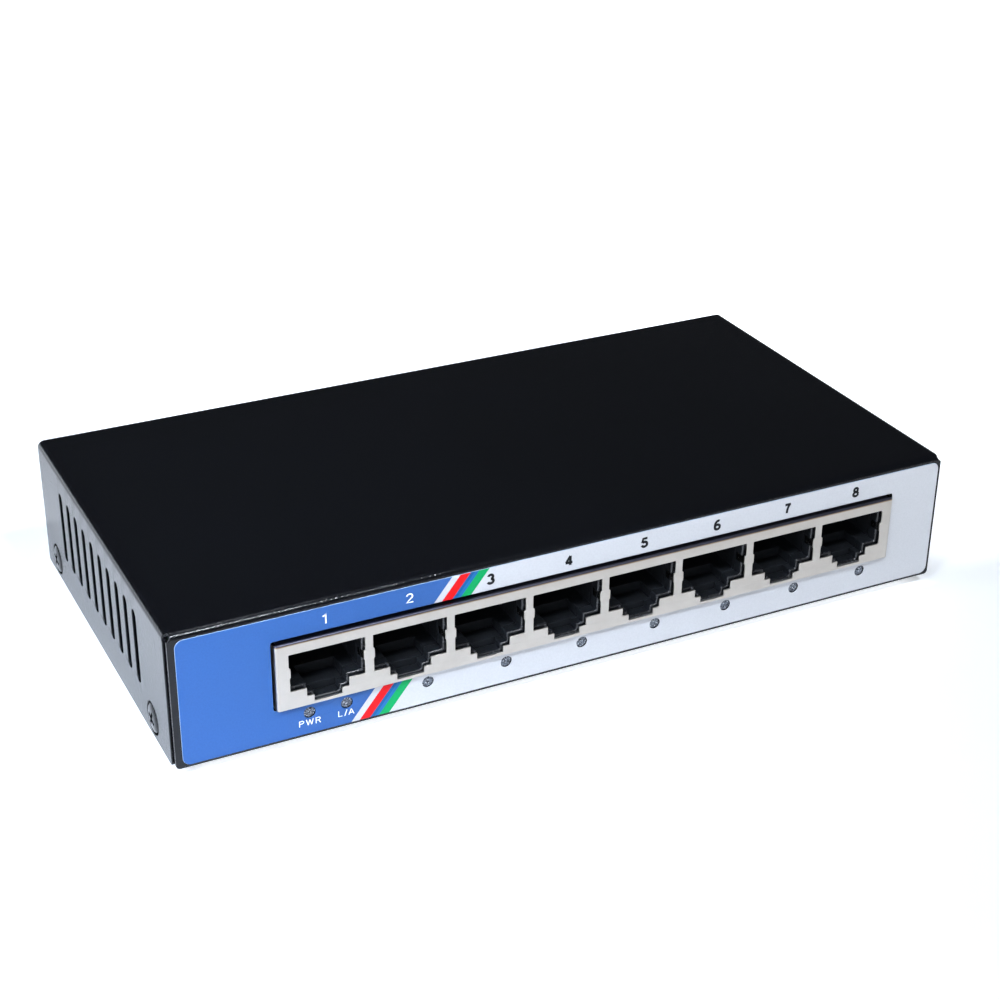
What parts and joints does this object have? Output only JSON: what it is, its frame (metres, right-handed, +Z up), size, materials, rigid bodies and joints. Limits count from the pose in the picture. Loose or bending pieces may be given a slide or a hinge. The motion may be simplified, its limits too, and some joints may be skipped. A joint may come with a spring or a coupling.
{
  "type": "desktop network switch",
  "caption": "Low sheet-metal box with a row of modular network sockets in a plated shield on its front, side vent slots, rubber feet and a rear barrel power inlet.",
  "frame": {"origin": "on the table, under the middle of the bounding box", "axes": "+X along the front from the first socket to the last, +Y from the front to the rear, +Z up"},
  "size_m": [0.1426, 0.074, 0.0256],
  "materials": {
    "black_powder_coat": "fine satin powder coat",
    "printed_label": "printed satin film",
    "plated_steel": "bright tin plate",
    "jack_plastic": "moulded, low gloss",
    "contact_gold": "gold-plated spring wire",
    "led_lens": "water-clear moulded lens",
    "black_screw": "dark zinc plate",
    "foot_rubber": "matt",
    "board_laminate": "solder resist on glass laminate",
    "zinc_plated": "bright zinc",
    "chip_epoxy": "moulded epoxy",
    "heatsink_aluminium": "extruded",
    "crystal_can": "drawn can",
    "capacitor_sleeve": "shrunk sleeve",
    "inlet_plastic": "moulded",
    "inlet_pin_metal": "nickel plate",
    "blank_label": "blank film"
  },
  "bodies": {
    "root": {"cover": "black_powder_coat", "base_tray": "black_powder_coat", "front_label": "printed_label", "jack_shield": "plated_steel", "jack_housing": "jack_plastic", "contact_insert_1": "contact_gold", "contact_insert_2": "contact_gold", "contact_insert_3": "contact_gold", "contact_insert_4": "contact_gold", "contact_insert_5": "contact_gold", "contact_insert_6": "contact_gold", "contact_insert_7": "contact_gold", "contact_insert_8": "contact_gold", "led_power": "led_lens", "led_port_1": "led_lens", "led_port_2": "led_lens", "led_port_3": "led_lens", "led_port_4": "led_lens", "led_port_5": "led_lens", "led_port_6": "led_lens", "led_port_7": "led_lens", "led_port_8": "led_lens", "side_screw_lf": "black_screw", "side_screw_lr": "black_screw", "side_screw_rf": "black_screw", "side_screw_rr": "black_screw", "foot_lf": "foot_rubber", "foot_rf": "foot_rubber", "foot_lr": "foot_rubber", "foot_rr": "foot_rubber", "circuit_board": "board_laminate", "standoff_lf": "zinc_plated", "board_screw_lf": "zinc_plated", "standoff_rf": "zinc_plated", "board_screw_rf": "zinc_plated", "standoff_lr": "zinc_plated", "board_screw_lr": "zinc_plated", "standoff_rr": "zinc_plated", "board_screw_rr": "zinc_plated", "switch_chip": "chip_epoxy", "heatsink": "heatsink_aluminium", "transformer_1": "chip_epoxy", "transformer_2": "chip_epoxy", "transformer_3": "chip_epoxy", "transformer_4": "chip_epoxy", "crystal": "crystal_can", "flash_chip": "chip_epoxy", "regulator": "chip_epoxy", "inductor": "chip_epoxy", "capacitor_1": "capacitor_sleeve", "capacitor_2": "capacitor_sleeve", "capacitor_3": "capacitor_sleeve", "dc_jack": "inlet_plastic", "dc_jack_pin": "inlet_pin_metal", "rating_label": "blank_label"}
  },
  "joints": []
}
